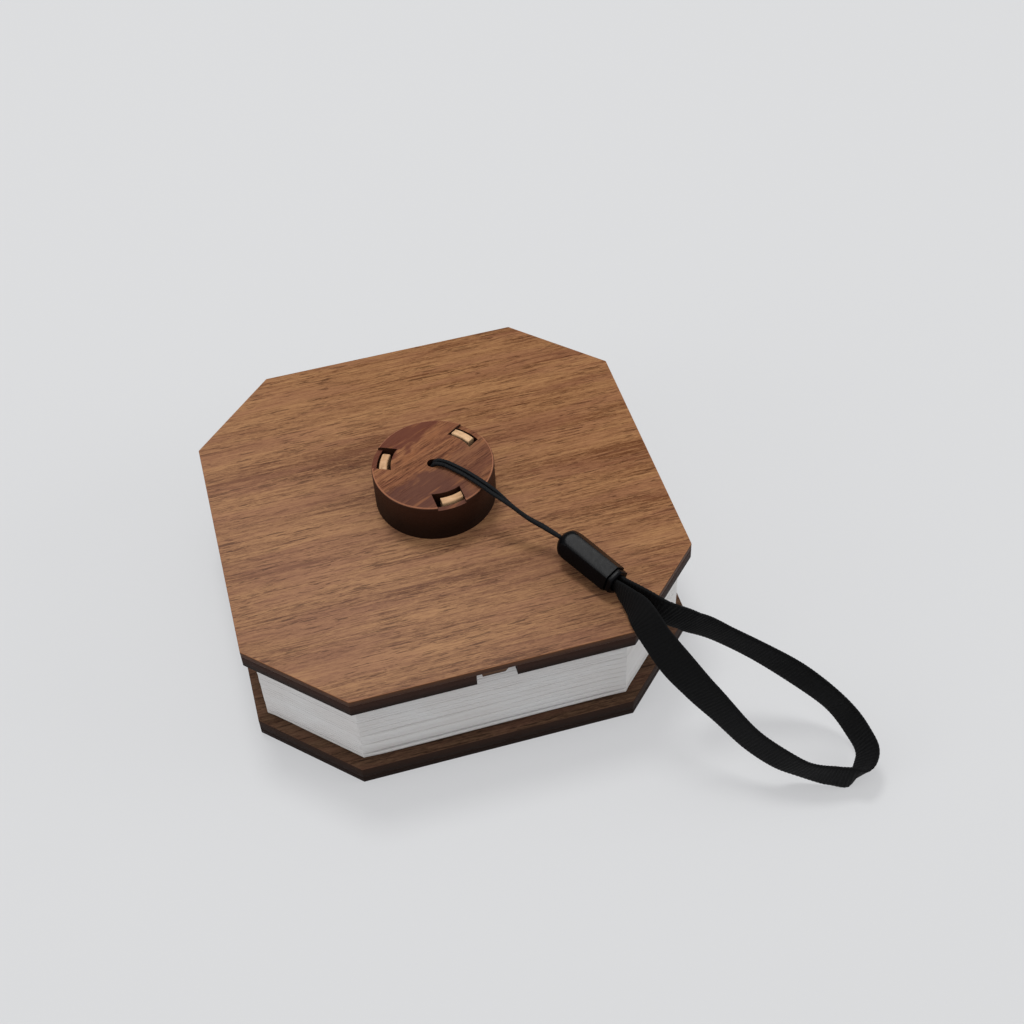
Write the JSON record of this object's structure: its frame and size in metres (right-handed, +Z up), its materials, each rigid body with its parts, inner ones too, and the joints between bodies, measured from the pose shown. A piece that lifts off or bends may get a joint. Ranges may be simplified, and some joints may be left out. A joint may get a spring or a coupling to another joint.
{
  "type": "folding paper lantern lamp",
  "caption": "Octagonal walnut covers joined by a folded-paper bellows that stretches into a lantern, with LED module, slide switch, magnetic round hanger, cord, bead and wrist strap",
  "frame": {"origin": "centre of the underside of the bottom cover, where it rests on the table", "axes": "+X along the front edge to the right, +Y to the back edge with the charging socket, +Z up, the way the lantern stretches"},
  "size_m": [0.1514, 0.159, 0.0494],
  "materials": {
    "walnut_light": "oiled walnut board, matt",
    "walnut_dark": "dark stained walnut, matt",
    "walnut_cap": "turned walnut, satin",
    "walnut_key": "walnut, matt",
    "pale_wood": "pale maple, matt",
    "paper": "coated non-woven paper, matt white",
    "steel_disc": "plated mild steel",
    "screw_steel": "zinc-plated steel",
    "magnet_metal": "nickel-plated magnet",
    "housing_plastic": "moulded plastic, matt white",
    "diffuser_plastic": "frosted plastic",
    "cell": "foil pouch of the rechargeable cell",
    "foam": "foam pad",
    "board_green": "glass-fibre circuit board, green",
    "board_white": "white lacquered circuit board",
    "component_black": "moulded component, black",
    "led_yellow": "warm-white LED, phosphor yellow",
    "socket_metal": "drawn steel shell",
    "lead_red": "insulated wire",
    "black_cord": "braided polyester cord, black",
    "black_webbing": "woven polyester webbing, black",
    "black_gloss": "moulded plastic, polished black"
  },
  "bodies": {
    "base_cover": {"bottom_outer_board": "walnut_dark", "bottom_inner_board": "walnut_dark", "bottom_end_sheet": "paper", "closing_keeper": "steel_disc"},
    "pleat_01": {"fold_01": "paper"},
    "pleat_02": {"fold_02": "paper"},
    "pleat_03": {"fold_03": "paper"},
    "pleat_04": {"fold_04": "paper"},
    "pleat_05": {"fold_05": "paper"},
    "pleat_06": {"fold_06": "paper"},
    "pleat_07": {"fold_07": "paper"},
    "pleat_08": {"fold_08": "paper"},
    "pleat_09": {"fold_09": "paper"},
    "pleat_10": {"fold_10": "paper"},
    "pleat_11": {"fold_11": "paper"},
    "pleat_12": {"fold_12": "paper"},
    "lamp_cover": {"top_outer_board": "walnut_light", "top_inner_board": "walnut_dark", "top_end_sheet": "paper", "hanger_keeper": "steel_disc", "lamp_housing": "housing_plastic", "housing_screws": "screw_steel", "battery": "cell", "battery_pad": "foam", "control_board": "board_green", "control_parts": "component_black", "board_screws": "screw_steel", "led_board": "board_white", "leds": "led_yellow", "diffuser": "diffuser_plastic", "magnet_cup": "housing_plastic", "closing_magnet": "magnet_metal", "socket_shell": "socket_metal", "socket_tongue": "component_black", "port_board": "board_green", "charge_leads": "lead_red", "switch_body": "component_black", "switch_leads": "lead_red"},
    "slide_key": {"switch_key": "walnut_key", "switch_lever": "component_black"},
    "hanger": {"hanger_base": "pale_wood", "hanger_magnet": "magnet_metal", "hanger_lugs": "pale_wood"},
    "hanger_top": {"hanger_cap": "walnut_cap", "cord_knot": "black_cord", "cord_strand_back": "black_cord", "cord_strand_front": "black_cord", "bead_shell": "black_gloss", "bead_collar": "black_gloss", "strap_webbing": "black_webbing"}
  },
  "joints": [
    {"name": "lantern_stretch", "type": "slide", "parent": "base_cover", "child": "lamp_cover", "axis": [0, 0, 1], "range_m": [0, 0.16]},
    {"name": "pleat_01_rise", "type": "slide", "parent": "base_cover", "child": "pleat_01", "axis": [0, 0, 1], "range_m": [-0.0001, 0.0072]},
    {"name": "pleat_02_rise", "type": "slide", "parent": "base_cover", "child": "pleat_02", "axis": [0, 0, 1], "range_m": [-0.0001, 0.0205]},
    {"name": "pleat_03_rise", "type": "slide", "parent": "base_cover", "child": "pleat_03", "axis": [0, 0, 1], "range_m": [-0.0001, 0.0338]},
    {"name": "pleat_04_rise", "type": "slide", "parent": "base_cover", "child": "pleat_04", "axis": [0, 0, 1], "range_m": [-0.0001, 0.0472]},
    {"name": "pleat_05_rise", "type": "slide", "parent": "base_cover", "child": "pleat_05", "axis": [0, 0, 1], "range_m": [-0.0001, 0.0605]},
    {"name": "pleat_06_rise", "type": "slide", "parent": "base_cover", "child": "pleat_06", "axis": [0, 0, 1], "range_m": [-0.0001, 0.0738]},
    {"name": "pleat_07_rise", "type": "slide", "parent": "base_cover", "child": "pleat_07", "axis": [0, 0, 1], "range_m": [-0.0001, 0.0872]},
    {"name": "pleat_08_rise", "type": "slide", "parent": "base_cover", "child": "pleat_08", "axis": [0, 0, 1], "range_m": [-0.0001, 0.1005]},
    {"name": "pleat_09_rise", "type": "slide", "parent": "base_cover", "child": "pleat_09", "axis": [0, 0, 1], "range_m": [-0.0001, 0.1138]},
    {"name": "pleat_10_rise", "type": "slide", "parent": "base_cover", "child": "pleat_10", "axis": [0, 0, 1], "range_m": [-0.0001, 0.1272]},
    {"name": "pleat_11_rise", "type": "slide", "parent": "base_cover", "child": "pleat_11", "axis": [0, 0, 1], "range_m": [-0.0001, 0.1405]},
    {"name": "pleat_12_rise", "type": "slide", "parent": "base_cover", "child": "pleat_12", "axis": [0, 0, 1], "range_m": [-0.0001, 0.1538]},
    {"name": "switch_slide", "type": "slide", "parent": "lamp_cover", "child": "slide_key", "axis": [1, 0, 0], "range_m": [0, 0.0018]},
    {"name": "hanger_lift", "type": "slide", "parent": "lamp_cover", "child": "hanger", "axis": [0, 0, 1], "range_m": [0, 0.015]},
    {"name": "cap_twist", "type": "hinge", "parent": "hanger", "child": "hanger_top", "pos_m": [0, 0.0008, 0.0373], "axis": [0, 0, 1], "range_deg": [0, 6.5]}
  ],
  "couplings": [
    {"joint": "pleat_01_rise", "follows": "lantern_stretch", "ratio": 0.041667},
    {"joint": "pleat_02_rise", "follows": "lantern_stretch", "ratio": 0.125},
    {"joint": "pleat_03_rise", "follows": "lantern_stretch", "ratio": 0.20833},
    {"joint": "pleat_04_rise", "follows": "lantern_stretch", "ratio": 0.29167},
    {"joint": "pleat_05_rise", "follows": "lantern_stretch", "ratio": 0.375},
    {"joint": "pleat_06_rise", "follows": "lantern_stretch", "ratio": 0.45833},
    {"joint": "pleat_07_rise", "follows": "lantern_stretch", "ratio": 0.54167},
    {"joint": "pleat_08_rise", "follows": "lantern_stretch", "ratio": 0.625},
    {"joint": "pleat_09_rise", "follows": "lantern_stretch", "ratio": 0.70833},
    {"joint": "pleat_10_rise", "follows": "lantern_stretch", "ratio": 0.79167},
    {"joint": "pleat_11_rise", "follows": "lantern_stretch", "ratio": 0.875},
    {"joint": "pleat_12_rise", "follows": "lantern_stretch", "ratio": 0.95833}
  ]
}
